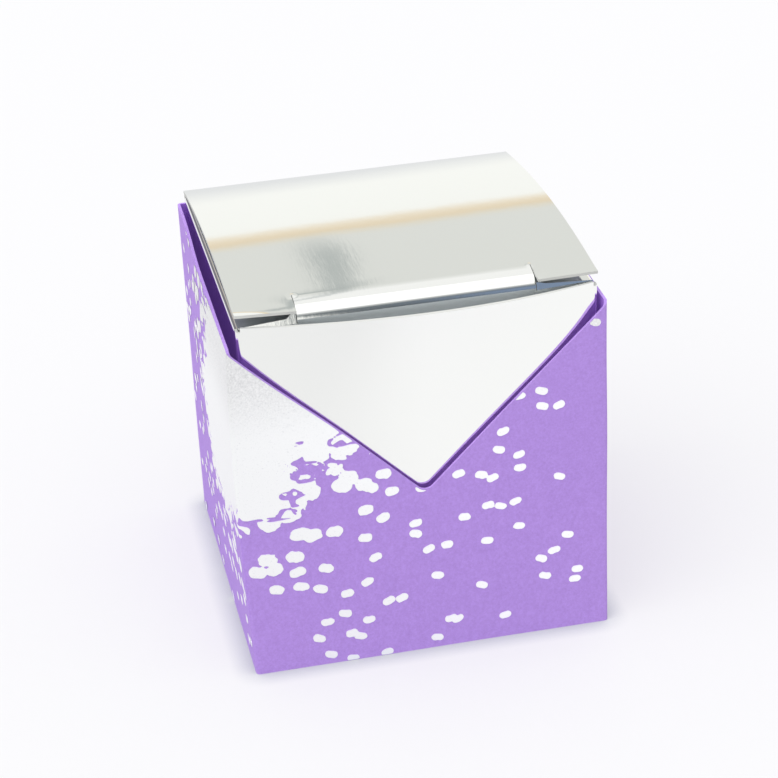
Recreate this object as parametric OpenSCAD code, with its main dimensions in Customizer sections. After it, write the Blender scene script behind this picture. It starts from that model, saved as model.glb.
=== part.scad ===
// Favor box of folded card: a silver carton with a tuck lid stands inside a purple
// sleeve, which has a V-shaped notch at the front and a silver foil spatter print.
// Millimetres, +Z up, the front faces -Y, and the origin is the middle of the
// footprint, on the table. The carton slides up out of the sleeve, and the lid
// turns on the crease along the top of the carton's back wall.

/* [Carton] */
// Width of the carton over its side walls
box_w = 50; // [44:1:70]
// Depth of the carton over its front and back walls
box_d = 50; // [44:1:70]
// Height of the carton's front wall
box_h = 54; // [48:1:75]
// Thickness of the silver card
card_t = 0.4; // [0.3:0.05:0.5]
// Outside radius of the carton's folds
fold_r = 0.6; // [0.6:0.1:1.4]
// How far the middle of the front wall's top edge bows out
front_bow = 3.2; // [0.4:0.2:3.6]
// Length of the top dust flaps, from the side walls' outer faces
dust_len = 19; // [12:1:20]
// How much each edge of a dust flap tapers towards its tip
dust_taper = 3; // [1:0.5:6]
// Width of the carton's glued seam
seam_w = 10; // [6:1:14]

/* [Lid] */
// How far the closed lid's front edge stands above the front wall's corners
lid_rise = 1.5; // [1:0.1:2.5]
// How far the middle of the lid arches above a straight line
lid_arch = 1.7; // [0.6:0.1:2.5]
// Outside radius of the lid's front fold
lid_fold_r = 2.2; // [1.6:0.1:2.6]
// Length of the tuck flap below the front fold
tuck_len = 14; // [8:1:18]
// Radius of the tuck flap's lower corners
tuck_corner_r = 6; // [2:0.5:7]
// Gap between the tuck flap's ends and the carton's outer faces
tuck_inset = 1.3; // [1:0.1:2]
// Length of the slits at the ends of the front fold
slit_len = 8.5; // [5:0.5:12]
// Width of the slits
slit_w = 0.3; // [0.2:0.05:0.5]
// How far the tuck flap's ears slope down outside the slits
ear_drop = 0.8; // [0.3:0.1:1.2]
// Radius of the bead that the crease raises along the lid's hinge
crease_r = 0.3; // [0.25:0.05:0.4]

/* [Bottom closure] */
// Height of the tuck flap inside the front wall
bottom_tuck_h = 12; // [8:1:16]
// Length of the bottom dust flaps, from the side walls' outer faces
bottom_dust_len = 18; // [12:1:20]

/* [Sleeve] */
// Height of the sleeve
sleeve_h = 51.6; // [44:0.2:53]
// Thickness of the purple card
sleeve_t = 0.4; // [0.3:0.05:0.5]
// Gap between the sleeve and the carton on each side
sleeve_gap = 0.6; // [0.6:0.05:1.2]
// Depth of the V-shaped notch below the sleeve's top edge
notch_depth = 26; // [12:1:32]
// Radius of the notch's tip
notch_r = 1.5; // [0.5:0.1:3]
// Width of the sleeve's glued seam
sleeve_seam_w = 9; // [6:1:14]

/* [Foil print] */
// Thickness of the silver foil
foil_t = 0.05; // [0.04:0.01:0.1]
// Height of the middle of the spatter
burst_z = 40; // [25:1:45]
// How far left of the front left fold the middle of the spatter lies
burst_left = 6; // [0:1:7]
// Radius within which the foil is solid
field_r = 17; // [8:1:22]
// Width of the ring round the solid field where the foil breaks up into chips
chip_reach = 5; // [2:0.5:8]
// Half the width of the loose dots
dot_r = 0.55; // [0.4:0.02:0.8]
// Half the distance between the middles of a dot's round ends
dot_stretch = 0.35; // [0.1:0.05:0.6]
// How much wider the dots are beside the solid field
dot_swell = 1.3; // [0:0.1:1.3]
// Distance over which the dots swell towards the solid field
swell_reach = 6; // [2:0.5:8]
// Size of the square cells that hold one dot each
dot_pitch = 2.9; // [2.6:0.1:5]
// Distance over which the dots thin out to about a third
fade = 24; // [8:1:40]
// Bare margin between the foil and the sleeve's cut edges
foil_margin = 0.1; // [0.1:0.05:1]

/* [Hidden] */
$fn = 48;
// A length that reaches right through a wall, and a cutter's margin past a face
through = 5;
past = 1;
// Clearance between card layers that lie on each other
layer_gap = 0.1;
// Clearance of the tuck flap inside the front wall, and of the lid's crease above the back wall
tuck_gap = 0.2;
hinge_gap = 0.1;
// Clearance between the dust flaps and the tuck flap
dust_gap = 0.4;

// Carton: half sizes, and half the flat length of a wall between its folds
half_w = box_w / 2;
half_d = box_d / 2;
flat_w = half_w - fold_r;
flat_d = half_d - fold_r;

// Lid: hinge axis, and the top of the side and back walls just under it
hinge_y = half_d - card_t / 2;
hinge_z = box_h - card_t / 2;
wall_top = hinge_z - crease_r - hinge_gap;

// Lid: front edge of its side tabs, and where the slits end
tab_y = -half_d;
lid_run = hinge_y - tab_y;
slit_x = half_w - slit_len;

// Tuck flap: an arc about the hinge axis, so that it swings clear of the front wall
tuck_reach = hinge_y + half_d - card_t - tuck_gap - card_t / 2;
tuck_half_w = half_w - tuck_inset;
fold_bend_r = lid_fold_r - card_t / 2;

// Dust flaps: front and back ends of their folds
dust_front = hinge_y - tuck_reach + card_t / 2 + dust_gap;
dust_back = flat_d;

// Sleeve: half outer sizes, flat half length of its front panel, and the notch's tip
sleeve_x = half_w + sleeve_gap + sleeve_t;
sleeve_y = half_d + sleeve_gap + sleeve_t;
sleeve_flat = sleeve_x - fold_r;
sleeve_flat_d = sleeve_y - fold_r;
notch_z = sleeve_h - notch_depth;

// The notch's arms run on over the front folds, up to the side panels
fold_arc = fold_r * PI / 2;
notch_slope = notch_depth / (sleeve_flat + fold_arc);
fold_drop = notch_slope * fold_arc;

// Purple card, silver card and foil as they look
purple = [0.62, 0.47, 0.83];
silver = [0.86, 0.86, 0.85];
foil_silver = [0.92, 0.92, 0.94];

// Outline of a square tube's plan with rounded corners, as exact arcs
module rounded_rect(x, y, r) {
    square([2 * x, 2 * (y - r)], center = true);
    square([2 * (x - r), 2 * y], center = true);
    for (i = [-1, 1], j = [-1, 1])
        translate([i * (x - r), j * (y - r)]) circle(r);
}

// Plan of a folded wall that runs right round
module wall_plan(x, y, r, t) {
    difference() {
        rounded_rect(x, y, r);
        rounded_rect(x - t, y - t, r - t);
    }
}

// A quarter fold in its own plane: it runs from the -X axis down to the -Y axis
module quarter_fold(r, t) {
    intersection() {
        difference() {
            circle(r);
            circle(r - t);
        }
        translate([-r, -r]) square(r);
    }
}

// Extrudes a shape drawn in Y and Z along X, between two places
module along_x(x0, x1) {
    translate([x0, 0, 0]) rotate([90, 0, 90]) linear_extrude(x1 - x0) children();
}

// Extrudes a shape drawn in X and Z along Y, between two places
module along_y(y0, y1) {
    translate([0, y1, 0]) rotate([90, 0, 0]) linear_extrude(y1 - y0) children();
}

// A path's heading at one of its points, and the path moved sideways
function unit(v) = v / norm(v);
function heading(path, i) =
    unit(path[min(i + 1, len(path) - 1)] - path[max(i - 1, 0)]);
function beside(path, d) =
    [for (i = [0 : len(path) - 1]) let (h = heading(path, i)) path[i] + d * [-h.y, h.x]];
function backwards(list) = [for (i = [len(list) - 1 : -1 : 0]) list[i]];

// Section of a card that follows a path in the middle of its thickness
module card_section(path) {
    polygon(concat(beside(path, card_t / 2), backwards(beside(path, -card_t / 2))));
}

// Height and slope of the arched lid over its depth
function lid_share(y) = (hinge_y - y) / lid_run;
function lid_z(y) =
    let (s = lid_share(y)) hinge_z + s * lid_rise + 4 * lid_arch * s * (1 - s);
function lid_angle(y) =
    atan((lid_rise + 4 * lid_arch * (1 - 2 * lid_share(y))) / lid_run);

// The lid's path from the hinge to a place near its front
arch_steps = 16;
function arch_path(y_end) =
    [for (i = [0 : arch_steps]) let (y = hinge_y + (y_end - hinge_y) * i / arch_steps)
        [y, lid_z(y)]];

// The front fold turns from the lid's own slope to straight down
fold_steps = 6;
fold_start_angle = 180 - lid_angle(tab_y);
fold_start_y = hinge_y - tuck_reach + fold_bend_r * (1 + sin(fold_start_angle));
fold_centre = [fold_start_y, lid_z(fold_start_y)]
    + fold_bend_r * [-sin(fold_start_angle), cos(fold_start_angle)];
fold_path = [for (i = [1 : fold_steps])
    let (a = fold_start_angle + (270 - fold_start_angle) * i / fold_steps)
    fold_centre + fold_bend_r * [sin(a), -cos(a)]];
tuck_top = fold_centre.y;

// The tuck flap's path runs down an arc about the hinge axis from a given height
tuck_steps = 8;
function tuck_path(z_top) =
    let (a0 = asin((hinge_z - z_top) / tuck_reach),
         a1 = asin((hinge_z - tuck_top + tuck_len) / tuck_reach))
    [for (i = [0 : tuck_steps]) let (a = a0 + (a1 - a0) * i / tuck_steps)
        [hinge_y - tuck_reach * cos(a), hinge_z - tuck_reach * sin(a)]];

// How far the front wall bows out: it stays flat as high as the sleeve holds it
function bow(x, z) =
    front_bow * (1 - pow(x / flat_w, 2)) * pow(max(0, (z - notch_z) / (box_h - notch_z)), 3);

// The front wall as a skin of quads over a grid, outer face first
bow_cols = 24;
bow_rows = 8;
bow_x = [for (i = [0 : bow_cols]) flat_w * (2 * i / bow_cols - 1)];
bow_z = concat([0], [for (j = [0 : bow_rows]) notch_z + (box_h - notch_z) * j / bow_rows]);
module bowed_wall() {
    cols = len(bow_x);
    rows = len(bow_z);
    layer = cols * rows;
    points = [for (inset = [0, card_t], z = bow_z, x = bow_x)
        [x, inset - half_d - bow(x, z), z]];
    outer = [for (j = [0 : rows - 2], i = [0 : cols - 2]) let (a = j * cols + i)
        each [[a, a + cols, a + 1], [a + 1, a + cols, a + cols + 1]]];
    inner = [for (f = outer) [f[0] + layer, f[2] + layer, f[1] + layer]];
    rims = [for (i = [0 : cols - 2]) let (a = i, b = (rows - 1) * cols + i)
        each [[a, a + 1, a + 1 + layer], [a, a + 1 + layer, a + layer],
              [b, b + layer, b + 1 + layer], [b, b + 1 + layer, b + 1]]];
    ends = [for (j = [0 : rows - 2]) let (a = j * cols, b = a + cols - 1)
        each [[a, a + layer, a + cols + layer], [a, a + cols + layer, a + cols],
              [b, b + cols, b + cols + layer], [b, b + cols + layer, b + layer]]];
    polyhedron(points, concat(outer, inner, rims, ends));
}

// A dust flap's section: the side wall folds over and runs inwards
module dust_section(length, top) {
    translate([fold_r - half_w, top - fold_r]) mirror([0, 1]) quarter_fold(fold_r, card_t);
    translate([fold_r - half_w, top - card_t]) square([length - fold_r, card_t]);
}

// One top dust flap on the left, tapered from its fold to its tip
module dust_flap() {
    intersection() {
        along_y(dust_front, dust_back) dust_section(dust_len, wall_top);
        linear_extrude(box_h) polygon([
            [-half_w, dust_front], [fold_r - half_w, dust_front],
            [dust_len - half_w, dust_front + dust_taper],
            [dust_len - half_w, dust_back - dust_taper],
            [fold_r - half_w, dust_back], [-half_w, dust_back]]);
    }
}

// Height at which the bottom dust flaps leave the side walls
bottom_fold_z = card_t + layer_gap + fold_r;

// One bottom dust flap on the left: it lies on the bottom panel
module bottom_dust_flap() {
    translate([0, 0, card_t + layer_gap]) mirror([0, 0, 1])
        translate([0, 0, -fold_r])
            along_y(-flat_d, flat_d) dust_section(bottom_dust_len, fold_r);
}

// Bottom panel: it folds from the back wall and tucks up inside the front wall
module bottom_closure() {
    front = -half_d + card_t + layer_gap;
    along_x(-flat_w, flat_w) {
        translate([half_d - fold_r, fold_r]) mirror([1, 0]) quarter_fold(fold_r, card_t);
        translate([front + fold_r, 0]) square([half_d - front - 2 * fold_r, card_t]);
        translate([front + fold_r, fold_r]) quarter_fold(fold_r, card_t);
    }
    along_x(-tuck_half_w, tuck_half_w)
        translate([front, fold_r]) square([card_t, bottom_tuck_h - fold_r]);
}

// The glued seam runs inside the left wall, from the front fold
module seam() {
    bevel = 3;
    low = bottom_fold_z + bevel;
    high = wall_top - fold_r - bevel;
    translate([card_t - half_w, 0, 0]) rotate([90, 0, 90]) linear_extrude(card_t)
        polygon([[-flat_d, low], [seam_w - flat_d, low + bevel],
                 [seam_w - flat_d, high - bevel], [-flat_d, high]]);
}

// The silver carton, folded from one sheet, without its lid
module carton() {
    color(silver) {
        difference() {
            linear_extrude(wall_top) wall_plan(half_w, half_d, fold_r, card_t);
            translate([-flat_w, -half_d - through, -past])
                cube([2 * flat_w, through + card_t, box_h + 2 * past]);
            translate([-flat_w, half_d - card_t, -past])
                cube([2 * flat_w, through, past + fold_r]);
            for (side = [0, 1]) mirror([side, 0, 0]) {
                translate([-half_w - through, dust_front, wall_top - fold_r])
                    cube([through + card_t, dust_back - dust_front, through]);
                translate([-half_w - through, -flat_d, -past])
                    cube([through + card_t, 2 * flat_d, past + bottom_fold_z]);
            }
        }
        bowed_wall();
        bottom_closure();
        seam();
        for (side = [0, 1]) mirror([side, 0, 0]) {
            dust_flap();
            bottom_dust_flap();
        }
    }
}

// Front view of the tuck flap: rounded lower corners, and ears that slope down
ear_top = lid_z(tab_y) - card_t / 2 - 2 * slit_w;
module tuck_outline() {
    low = tuck_top - tuck_len - card_t;
    inner = tuck_half_w - tuck_corner_r;
    translate([-inner, low]) square([2 * inner, tuck_top - low]);
    translate([-tuck_half_w, low + tuck_corner_r])
        square([2 * tuck_half_w, tuck_top - low - tuck_corner_r]);
    for (side = [-1, 1])
        translate([side * inner, low + tuck_corner_r]) circle(tuck_corner_r);
    for (side = [0, 1]) mirror([side, 0])
        polygon([[slit_x + slit_w, tuck_top - past], [slit_x + slit_w, ear_top],
                 [tuck_half_w, ear_top - ear_drop], [tuck_half_w, tuck_top - past]]);
}

// The lid with its tuck flap, hinged on the crease at the back
module lid() {
    color(silver) {
        along_x(-slit_x, slit_x)
            card_section(concat(arch_path(fold_start_y), fold_path));
        for (side = [0, 1]) mirror([side, 0, 0]) {
            along_x(slit_x, half_w) card_section(arch_path(fold_start_y));
            along_x(slit_x + slit_w, half_w) card_section(tab_path);
        }
        intersection() {
            along_x(-tuck_half_w, tuck_half_w) card_section(tuck_path(ear_top));
            along_y(-half_d - through, 0) tuck_outline();
        }
        translate([-flat_w, hinge_y, hinge_z])
            rotate([0, 90, 0]) cylinder(r = crease_r, h = 2 * flat_w);
    }
}

// The lid's path beside the slits carries straight on to its front edge
tab_path = [for (i = [0 : 2]) let (y = fold_start_y + (tab_y - fold_start_y) * i / 2)
    [y, lid_z(y)]];

// The notch seen from the front, with its tip rounded by a circle that touches both arms
module notch() {
    lean = atan(1 / notch_slope);
    centre = notch_z + notch_r / sin(lean);
    touch = notch_r * [cos(lean), -sin(lean)];
    wide = (notch_depth + past) / notch_slope;
    polygon([[-touch.x, centre + touch.y], [touch.x, centre + touch.y],
             [wide, sleeve_h + past], [-wide, sleeve_h + past]]);
    translate([0, centre]) circle(notch_r);
}

// What the notch's arm takes off the left front fold: a slope, level across the card,
// that meets the arm and the side panel's top edge in the middle of the card's thickness
module fold_cut() {
    middle = (fold_r - sleeve_t / 2) / sqrt(2);
    slope = fold_drop / (2 * middle);
    intersection() {
        translate([-sleeve_x - past, -sleeve_y - past, 0])
            cube([past + fold_r, past + fold_r, sleeve_h + 2 * past]);
        translate([-sleeve_flat, -sleeve_flat_d, sleeve_h]) rotate(-45) along_y(-through, 0)
            polygon([[-middle - past / slope, past], [fold_r, -slope * (fold_r + middle)],
                     [fold_r, past]]);
    }
}

// The purple sleeve: a band of four panels, glued along a seam inside the back
module sleeve() {
    seam_margin = 1.5;
    color(purple) {
        difference() {
            linear_extrude(sleeve_h) wall_plan(sleeve_x, sleeve_y, fold_r, sleeve_t);
            intersection() {
                along_y(-sleeve_y - through, -sleeve_y + sleeve_t + layer_gap) notch();
                translate([-sleeve_flat, -sleeve_y - through, 0])
                    cube([2 * sleeve_flat, 2 * through, sleeve_h + 2 * past]);
            }
            for (side = [0, 1]) mirror([side, 0, 0]) fold_cut();
        }
        translate([sleeve_flat - sleeve_seam_w, sleeve_y - 2 * sleeve_t, seam_margin])
            cube([sleeve_seam_w, sleeve_t, sleeve_h - 2 * seam_margin]);
    }
}

// Pseudo-random shares from 0 to 1, fixed by a cell's place and a draw's number
function fraction(x) = x - floor(x);
function share(i, j, draw) =
    fraction(43758.5453 * sin(127.1 * i + 311.7 * j + 74.7 * draw));

// The spatter's dots lie on the sleeve unrolled from the front left fold, u along it
// and v up it, one to a cell. Fewer cells keep theirs further from the burst.
function burst_distance(u, v) = norm([u + burst_left, v - burst_z]);
function dot_chance(d) = exp((field_r - d) / fade);
function dot_half_width(d) = dot_r + dot_swell * exp((field_r - d) / swell_reach);
first_column = floor(-2 * sleeve_y / dot_pitch);
last_column = ceil(2 * (sleeve_x + sleeve_y) / dot_pitch);
jitter = 0.8;
dot_turn = 50;
chip_corners = 7;
chip_low = 0.7;
dots = [for (i = [first_column : last_column], j = [0 : ceil(sleeve_h / dot_pitch)])
    let (u = dot_pitch * (i + 0.5 + jitter * (share(i, j, 1) - 0.5)),
         v = dot_pitch * (j + 0.5 + jitter * (share(i, j, 2) - 0.5)),
         d = burst_distance(u, v))
    if (d > field_r - dot_swell && share(i, j, 3) < dot_chance(d))
        [u, v, dot_half_width(d), dot_turn * (share(i, j, 4) - 0.5),
         d < field_r + chip_reach, [i, j]]];

// One loose dot: a short bar with round ends
module dot_shape(half_width) {
    square([2 * dot_stretch, 2 * half_width], center = true);
    for (end = [-1, 1]) translate([end * dot_stretch, 0]) circle(half_width);
}

// One chip beside the solid field: a shard whose corners lie nearer or further out
module chip_shape(half_width, cell) {
    polygon([for (k = [0 : chip_corners - 1])
        let (a = 360 * k / chip_corners,
             r = half_width * (chip_low + (1 - chip_low) * share(cell.x, cell.y, 5 + k)))
        r * [cos(a), sin(a)] + [sign(cos(a)) * dot_stretch, 0]]);
}

// Foil on one panel, drawn flat about the panel's middle
module panel_foil(middle, half, notched) {
    intersection() {
        difference() {
            translate([-half, foil_margin])
                square([2 * half, sleeve_h - 2 * foil_margin]);
            if (notched) translate([0, -foil_margin * sqrt(2)]) notch();
        }
        union() {
            if (abs(middle) < sleeve_x + sleeve_y)
                translate([-middle - burst_left, burst_z]) circle(field_r);
            for (dot = dots)
                if (abs(dot[0] - middle) < half - dot[2] - dot_stretch)
                    translate([dot[0] - middle, dot[1]]) rotate(dot[3])
                        if (dot[4]) chip_shape(dot[2], dot[5]);
                        else dot_shape(dot[2]);
        }
    }
}

// The foil print on the front and side panels, and over the fold that the solid
// field crosses. The back panel is bare.
module foil_print() {
    color(foil_silver) {
        translate([0, -sleeve_y, 0]) rotate([90, 0, 0])
            linear_extrude(foil_t) panel_foil(sleeve_x, sleeve_flat, true);
        translate([-sleeve_x, 0, 0]) rotate([90, 0, -90])
            linear_extrude(foil_t) panel_foil(-sleeve_y, sleeve_flat_d, false);
        translate([sleeve_x, 0, 0]) rotate([90, 0, 90])
            linear_extrude(foil_t) panel_foil(2 * sleeve_x + sleeve_y, sleeve_flat_d, false);
        fold_reach = sqrt(pow(field_r, 2) - pow(burst_left, 2));
        low = max(foil_margin, burst_z - fold_reach);
        high = min(burst_z + fold_reach, sleeve_h - fold_drop - foil_margin);
        translate([fold_r - sleeve_x, fold_r - sleeve_y, low])
            linear_extrude(high - low) quarter_fold(fold_r + foil_t, foil_t);
    }
}

sleeve();
foil_print();
carton();
lid();
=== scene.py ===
"""Favor box: a mirror-card carton with a tuck lid inside a purple sleeve with silver foil spatter."""

import math

import bpy
import numpy as np
from mathutils import Matrix, Vector


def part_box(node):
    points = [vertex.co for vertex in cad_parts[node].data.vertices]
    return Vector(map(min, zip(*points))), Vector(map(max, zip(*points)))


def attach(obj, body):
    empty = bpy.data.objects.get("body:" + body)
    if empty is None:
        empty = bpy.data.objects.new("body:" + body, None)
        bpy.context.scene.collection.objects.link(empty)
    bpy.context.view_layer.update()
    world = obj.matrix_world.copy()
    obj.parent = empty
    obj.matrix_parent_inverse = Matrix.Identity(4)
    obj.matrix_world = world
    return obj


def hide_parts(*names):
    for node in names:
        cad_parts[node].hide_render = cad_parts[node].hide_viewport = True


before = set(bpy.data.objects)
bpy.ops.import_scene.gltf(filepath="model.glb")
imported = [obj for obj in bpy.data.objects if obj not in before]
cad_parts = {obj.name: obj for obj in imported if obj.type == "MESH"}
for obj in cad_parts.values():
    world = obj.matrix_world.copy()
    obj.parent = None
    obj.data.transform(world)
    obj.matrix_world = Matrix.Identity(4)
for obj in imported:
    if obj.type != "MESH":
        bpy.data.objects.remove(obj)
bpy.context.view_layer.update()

# Every size below is in millimetres until a mesh is made
MM = 0.001


def in_mm(corner):
    return np.array(corner) / MM


# Card
CARD_T = 0.4
FOLD_R = 0.6
LAYER_GAP = 0.1
SHARP_ANGLE = math.radians(34)
FOLD_LINES = 4
QUARTER_TURN = np.linspace(0, math.pi / 2, 7)

# A wall's flat is where its normal's main part is past this
SQUARE_ON = 0.999

# Points of a mesh are one where they agree to this many steps in a millimetre
WELDS_PER_MM = 2000

# Noise in faces and foil edges: its height, its pitch in each direction, and its draw
SLEEVE_WAVE = (0.06, 17, 15, 9)
CARTON_WAVE = (0.02, 13, 11, 11)
LID_WAVE = (0.012, 11, 9, 13)
RAGGED = (1.3, 2.6, 2.0, 5)
FACETED = (2.2, 1.3, 0.95, 6)
CRUMBLE_FINE = (0.13, 0.45, 0.45, 7)
CRUMBLE_COARSE = (0.1, 1.1, 1.1, 8)

# Sleeve
SLEEVE_HIGH = in_mm(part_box("sleeve")[1])
SLEEVE_X, SLEEVE_Y, SLEEVE_H = SLEEVE_HIGH
SLEEVE_FLAT = SLEEVE_X - FOLD_R
SLEEVE_SEAM_W = 9.0
SLEEVE_SEAM_MARGIN = 1.5
SLEEVE_SEAM_GAP = 0.08
SLEEVE_ROWS = 45
PANEL_STEP = 1.3
NOTCH_DEPTH = 26.0
NOTCH_R = 1.5
NOTCH_Z = SLEEVE_H - NOTCH_DEPTH
NOTCH_SLOPE = NOTCH_DEPTH / (SLEEVE_FLAT + FOLD_R * math.pi / 2)
NOTCH_SHIFT = -0.3
TIP_LINES = (0.25, 0.5, 0.8, 1.1)

# The sleeve's left side bellies and leans out, and fades into the flat panels
LEFT_BELLY = 0.6
LEFT_OUT = 0.6
LEFT_FROM_X = 10.0
LEFT_FADE_Y = -2.0
LEFT_FADE = 26.0

# The notch's edges lean forward, most at their tops
TIP_LEAN_LEFT = 0.5
TIP_LEAN_RIGHT = 0.4
LEAN_FROM_X = 8.0
LEAN_RUN = 17.0
LEAN_BELOW_NOTCH = 6.0
LEAN_DEPTH = 30.0

# Foil print
FOIL_T = 0.05
FOIL_MARGIN = 0.1
BURST_Z = 40.0
BURST_LEFT = 6.0
FIELD_R = 17.0
CHIP_REACH = 5.0
CHIP_CORNERS = 7
CHIP_LOW = 0.7
CRACK_DEPTH = 4.5
CRACK_W = 0.2
CRACK_OUT = 1.0
CRACK_FADE = 3.0
CRACK_PITCH = (2.3, 1.7)
CRACK_BEND = 0.4
CRACK_DRAW = 12
CRUMBLE_MOST = 1.6
CRUMBLE_ROOM = 1.0
DOT_R = 0.55
DOT_STRETCH = 0.35
DOT_SWELL = 1.3
LOBES = ((9.0, 41.5, 8.0), (-15.0, 31.5, 13.0))
SWELL_REACH = 6.0
DOT_PITCH = 2.9
FADE = 24.0
DOT_JITTER = 0.8
DOT_TURN = math.radians(50)
FOIL_CELL = 0.26
CROSSING_MARGIN = 0.02

# Carton
CARTON_HIGH = in_mm(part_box("carton")[1])
HALF_W, HALF_D, BOX_H = CARTON_HIGH
FLAT_W = HALF_W - FOLD_R
FLAT_D = HALF_D - FOLD_R
FRONT_BOW = 3.2
BOW_SKEW = 0.12
BOW_POWER = 3
CREASE_R = 0.3
HINGE_Y = HALF_D - CARD_T / 2
HINGE_Z = BOX_H - CARD_T / 2
WALL_TOP = HINGE_Z - CREASE_R - LAYER_GAP
DUST_LEN = 19.0
DUST_TAPER = 3.0
BOTTOM_DUST_LEN = 18.0
BOTTOM_TUCK_H = 12.0
BOTTOM_TUCK_TAPER = 0.02
BOTTOM_TAPER_RUN = 2.0
WALL_LINE_Z = 15.0
WALL_STEP = 1.2
SEAM_W = 10.0
SEAM_BEVEL = 3.0
SEAM_ROWS = 16

# Lid
LID_RISE = 1.5
LID_ARCH = 1.7
LID_FOLD_R = 2.2
TUCK_LEN = 14.0
TUCK_CORNER_R = 6.0
TUCK_INSET = 1.3
TUCK_GAP = 0.2
DUST_GAP = 0.4
SLIT_LEN = 8.5
SLIT_W = 0.12
TAB_Y = -HALF_D
LID_RUN = HINGE_Y - TAB_Y
SLIT_X = HALF_W - SLIT_LEN
TUCK_REACH = HINGE_Y + HALF_D - 1.5 * CARD_T - TUCK_GAP
TUCK_HALF_W = HALF_W - TUCK_INSET
FOLD_BEND_R = LID_FOLD_R - CARD_T / 2
FOLD_EASE = 1.6
FOLD_POWER = 1.9
FOLD_STEPS = 24
ARCH_STEP = 0.9
NEAR_FOLD = 1.5
NEAR_FOLD_STEP = 0.25
NEAR_SLIT_STEP = 0.2
LID_STEP = 1.0
SIDE_STEP = 0.7
TAB_STEP = 0.5
TUCK_ROWS = 14
EAR_ROWS = 9
SMOOTH_ROWS_BY_FOLD = 8
TAB_LIFT_POWER = 3
EAR_DROP = 0.45
EAR_REACH = 0.8
EAR_ABOVE = {-1: 0.15, 1: 0.4}
EAR_TILT = {-1: 0.47, 1: 0.35}
EAR_HOOK = {-1: 0.9, 1: 0.2}
HOOK_W = 1.3
TAB_LIFT = {-1: 0.45, 1: 0.12}
CURL_H = 0.1
CURL_R = 0.4
DUST_FRONT = HINGE_Y - TUCK_REACH + CARD_T / 2 + DUST_GAP
DUST_BACK = FLAT_D

# Camera, fitted to the box's corners in the photograph
PHOTO_PX = 778
SENSOR_MM = 36.0
CAMERA_FOCAL_PX = 2463.2
CAMERA_AZIMUTH = math.radians(-10.87)
CAMERA_ELEVATION = math.radians(27.22)
CAMERA_ROLL = math.radians(-2.82)
CAMERA_PLACE = Vector((-60.92, -318.06, 195.53))

# Floor, in metres: its glow where the camera sees it, its glow in mirrors with the step in it
# from left to right, and the contact shadow's reach and tint
FLOOR_REACH = 3.0
FLOOR_GLOW = 0.48
FLOOR_SHINE_LEFT = 0.47
FLOOR_SHINE_STEP = 0.1
FLOOR_SHINE_X = (-0.012, 0.014)
CONTACT_REACH = 0.0035
CONTACT_TINT = (0.66, 0.78, 1.0, 1)

# Painted glow for light through the sleeve's card, light on plain surfaces, and what stands behind
# the box
INSIDE_PAINTED_GLOW = 0.13
PLAIN_LIGHT = (0.95, 0.95, 0.95, 1)
BACKGROUND = (0.968, 0.968, 0.968, 1)

# What mirrors see behind the box, from low to high, with the dark parts in it. Fades go by
# a direction's sideways part over its depth, or by its height
BEHIND_REAR = (0.84, 0.85, 0.87, 1)
BEHIND_LOW = (1.04, 1.045, 1.02, 1)
BAND_PALE = (0.94, 0.84, 0.68, 1)
BAND_WARM = (0.86, 0.72, 0.52, 1)
BAND_GREYISH = (0.83, 0.79, 0.69, 1)
BEHIND_GREY = (0.80, 0.81, 0.785, 1)
BEHIND_HIGH = (1.02, 1.02, 1.015, 1)
BAND_TILT = 0.174
BAND_TILT_CENTRE = 0.0327
STREAK_SHARE = 0.62
STREAK_COLOR = (0.25, 0.3, 0.31, 1)
STREAK_SLANT = 0.1765
STREAK_FOOT = 0.090
STREAK_HALF_W = 0.013
STREAK_FADE_IN = (0.36, 0.47)
TRAIL_SLANT = -0.667
TRAIL_FOOT = 0.693
TRAIL_HALF_W = 0.028
TRAIL_FADE_IN = (0.15, 0.165)
TRAIL_FADE_OUT = (0.21, 0.19)
DARK_LEFT = (0.22, 0.21, 0.24, 1)
LEFT_DARK_IN = (-0.06, -0.3)
LEFT_DARK_OUT = (-1.2, -0.7)

# What mirrors see before the box: dark low down, blue to one side, a bright window
FRONT_LOW = (0.11, 0.125, 0.15, 1)
FRONT_MIDDLE = (0.16, 0.185, 0.20, 1)
FRONT_HIGH = (1.0, 1.0, 1.0, 1)
FRONT_BLUE = (0.22, 0.29, 0.42, 1)
FRONT_WINDOW = (1.12, 1.12, 1.09, 1)
BLUE_FADE_IN = (-0.18, -0.25)
BESIDE_FADE_IN = (0.45, 0.7)
WINDOW_FADE_IN = (-0.155, -0.140)
FRONT_TO_BEHIND = (-0.35, -0.05)


def srgb(red, green, blue):
    """A colour as written on screen, 0 to 255, in linear light with alpha."""
    def linear(c):
        c /= 255
        return c / 12.92 if c <= 0.04045 else ((c + 0.055) / 1.055) ** 2.4
    return (linear(red), linear(green), linear(blue), 1.0)


def smooth(x):
    """Rises smoothly from 0 to 1 as x does."""
    x = np.clip(x, 0, 1)
    return x * x * (3 - 2 * x)


# Noise

def share(i, j, draw):
    """Pseudo-random shares from 0 to 1, fixed by a cell's place and a draw's number."""
    x = 43758.5453 * np.sin(np.radians(127.1 * i + 311.7 * j + 74.7 * draw))
    return x - np.floor(x)


def value_noise(x, y, draw, ease=smooth):
    """Noise from -1 to 1 over a plane, with features about 1 across; without ease its slopes
    are straight and its contours angular."""
    i, j = np.floor(x), np.floor(y)
    fx, fy = (ease(x - i), ease(y - j)) if ease else (x - i, y - j)
    low = share(i, j, draw) * (1 - fx) + share(i + 1, j, draw) * fx
    high = share(i, j + 1, draw) * (1 - fx) + share(i + 1, j + 1, draw) * fx
    return 2 * (low * (1 - fy) + high * fy) - 1


def waves(kind, a, b, ease=smooth):
    """Noise of one of the kinds above."""
    height, pitch_a, pitch_b, draw = kind
    return height * value_noise(a / pitch_a, b / pitch_b, draw, ease)


# Card meshes

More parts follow.
